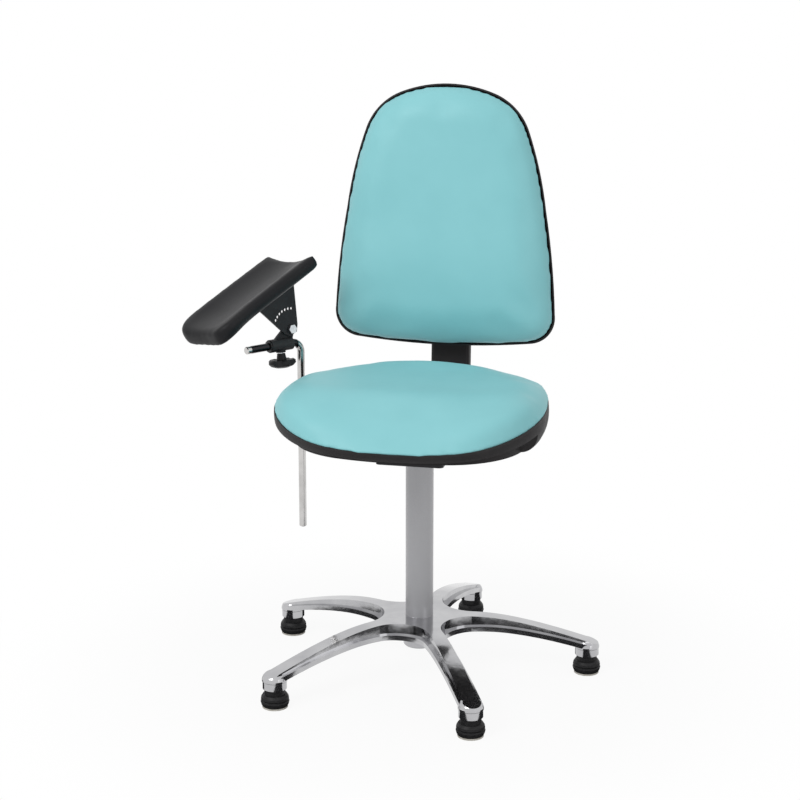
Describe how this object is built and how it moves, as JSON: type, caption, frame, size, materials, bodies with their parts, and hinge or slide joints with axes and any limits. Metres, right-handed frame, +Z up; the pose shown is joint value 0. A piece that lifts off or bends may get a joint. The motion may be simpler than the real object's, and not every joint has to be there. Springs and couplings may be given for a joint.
{
  "type": "phlebotomy chair",
  "caption": "Height-adjustable blood-drawing chair with a padded seat and backrest, a star base on glides and a padded forearm rest clamped to a bent rod at one side.",
  "frame": {"origin": "on the floor, under the axis of the column", "axes": "+Z up, the sitter faces -Y, the armrest is on the sitter's right at -X"},
  "size_m": [0.7608, 0.6322, 1.0422],
  "materials": {
    "polished_aluminium": "polished casting",
    "glide_plastic": "satin moulded",
    "sole_plastic": "smooth glide plastic",
    "bright_steel": "bright ground",
    "column_paint": "satin grey",
    "bush_plastic": "smooth",
    "black_tube": "satin black",
    "black_paint": "powder coat",
    "black_casting": "black powder coat",
    "zinc_steel": "zinc plated",
    "knob_plastic": "moulded",
    "shell_plastic": "fine textured charcoal",
    "plywood": "raw",
    "aqua_upholstery": "smooth matte vinyl over foam",
    "black_foam": "integral-skin foam"
  },
  "bodies": {
    "base": {"star_base": "polished_aluminium", "glide_1": "glide_plastic", "glide_2": "glide_plastic", "glide_3": "glide_plastic", "glide_4": "glide_plastic", "glide_5": "glide_plastic", "glide_stems": "bright_steel", "glide_soles": "sole_plastic", "column_tube": "column_paint", "guide_bush": "bush_plastic", "bearing_lower_race": "bright_steel", "bearing_cage": "bright_steel"},
    "piston": {"piston_rod": "bright_steel", "piston_head": "bright_steel", "bearing_upper_race": "bright_steel", "circlip": "bright_steel"},
    "seat_frame": {"pressure_tube": "black_tube", "tube_gland": "bright_steel", "cone_socket": "black_paint", "mechanism_housing": "black_paint", "mechanism_plate": "black_paint", "seat_bolts": "zinc_steel", "lever_pin": "bright_steel", "seat_pan": "shell_plastic", "seat_board": "plywood", "seat_cushion": "aqua_upholstery", "rod_holder": "black_paint"},
    "release_button": {"release_button": "zinc_steel"},
    "height_lever": {"height_lever": "black_paint", "lever_grip": "knob_plastic"},
    "back_upright": {"back_bar": "black_paint", "bar_cover": "shell_plastic", "back_pivot_pin": "zinc_steel"},
    "back_angle_knob": {"back_angle_knob": "knob_plastic"},
    "backrest": {"back_carriage": "black_casting", "back_bolts": "zinc_steel", "back_shell": "shell_plastic", "back_board": "plywood", "back_cushion": "aqua_upholstery"},
    "back_height_knob": {"back_height_knob": "knob_plastic", "back_height_stud": "zinc_steel"},
    "rod_bush": {"rod_bush": "bush_plastic"},
    "arm_rod": {"arm_rod": "bright_steel"},
    "holder_knob": {"holder_knob": "knob_plastic", "holder_knob_stud": "zinc_steel"},
    "clamp_bush": {"clamp_bush": "bush_plastic"},
    "clamp_block": {"clamp_block": "black_casting", "tilt_bolt": "zinc_steel", "tilt_washer": "zinc_steel", "tilt_nut": "zinc_steel"},
    "clamp_knob": {"clamp_knob": "knob_plastic", "clamp_knob_stud": "zinc_steel"},
    "arm_pad": {"pad_bracket": "black_paint", "pad_core": "zinc_steel", "pad_screws": "zinc_steel", "arm_pad": "black_foam"}
  },
  "joints": [
    {"name": "column_swivel", "type": "hinge", "parent": "base", "child": "piston", "pos_m": [0, 0, 0], "axis": [0, 0, 1], "continuous": true},
    {"name": "column_lift", "type": "slide", "parent": "piston", "child": "seat_frame", "axis": [0, 0, 1], "range_m": [0, 0.2]},
    {"name": "release_press", "type": "slide", "parent": "seat_frame", "child": "release_button", "axis": [0, 0, -1], "range_m": [0, 0.0035]},
    {"name": "lever_lift", "type": "hinge", "parent": "seat_frame", "child": "height_lever", "pos_m": [-0.042, -0.02, 0.436], "axis": [0, 1, 0], "range_deg": [0, 4.8], "stiffness_Nm_per_rad": 2, "springref_deg": -6.88},
    {"name": "back_recline", "type": "hinge", "parent": "seat_frame", "child": "back_upright", "pos_m": [0, 0.08, 0.433], "axis": [-1, 0, 0], "range_deg": [-4, 14]},
    {"name": "back_angle_knob_turn", "type": "hinge", "parent": "back_upright", "child": "back_angle_knob", "pos_m": [0.076, 0.08, 0.433], "axis": [1, 0, 0], "range_deg": [0, 270]},
    {"name": "back_height", "type": "slide", "parent": "back_upright", "child": "backrest", "axis": [0, 0.0523, 0.9986], "range_m": [0, 0.07]},
    {"name": "back_height_knob_turn", "type": "hinge", "parent": "backrest", "child": "back_height_knob", "pos_m": [0, 0.33264, 0.70634], "axis": [0, 0.9986, -0.0523], "range_deg": [0, 270]},
    {"name": "rod_swivel", "type": "hinge", "parent": "seat_frame", "child": "rod_bush", "pos_m": [-0.2536, 0.1327, 0.43], "axis": [0, 0, 1], "range_deg": [-90, 60]},
    {"name": "rod_height", "type": "slide", "parent": "rod_bush", "child": "arm_rod", "axis": [0, 0, 1], "range_m": [-0.03, 0.12]},
    {"name": "holder_knob_turn", "type": "hinge", "parent": "seat_frame", "child": "holder_knob", "pos_m": [-0.285, 0.1327, 0.425], "axis": [-1, 0, 0], "range_deg": [0, 270]},
    {"name": "clamp_slide", "type": "slide", "parent": "arm_rod", "child": "clamp_bush", "axis": [-0.6018, -0.7986, 0], "range_m": [0, 0.045]},
    {"name": "clamp_roll", "type": "hinge", "parent": "clamp_bush", "child": "clamp_block", "pos_m": [-0.2536, 0.1327, 0.574], "axis": [-0.6018, -0.7986, 0], "range_deg": [-30, 30]},
    {"name": "clamp_knob_turn", "type": "hinge", "parent": "clamp_block", "child": "clamp_knob", "pos_m": [-0.27885, 0.09225, 0.54429], "axis": [-0.1111, 0.0838, 0.9903], "range_deg": [0, 270]},
    {"name": "pad_tilt", "type": "hinge", "parent": "clamp_block", "child": "arm_pad", "pos_m": [-0.27093, 0.11571, 0.59975], "axis": [0.7909, -0.596, 0.1392], "range_deg": [-35, 20]}
  ],
  "couplings": [
    {"joint": "release_press", "follows": "lever_lift", "m_per_rad": 0.0417}
  ]
}
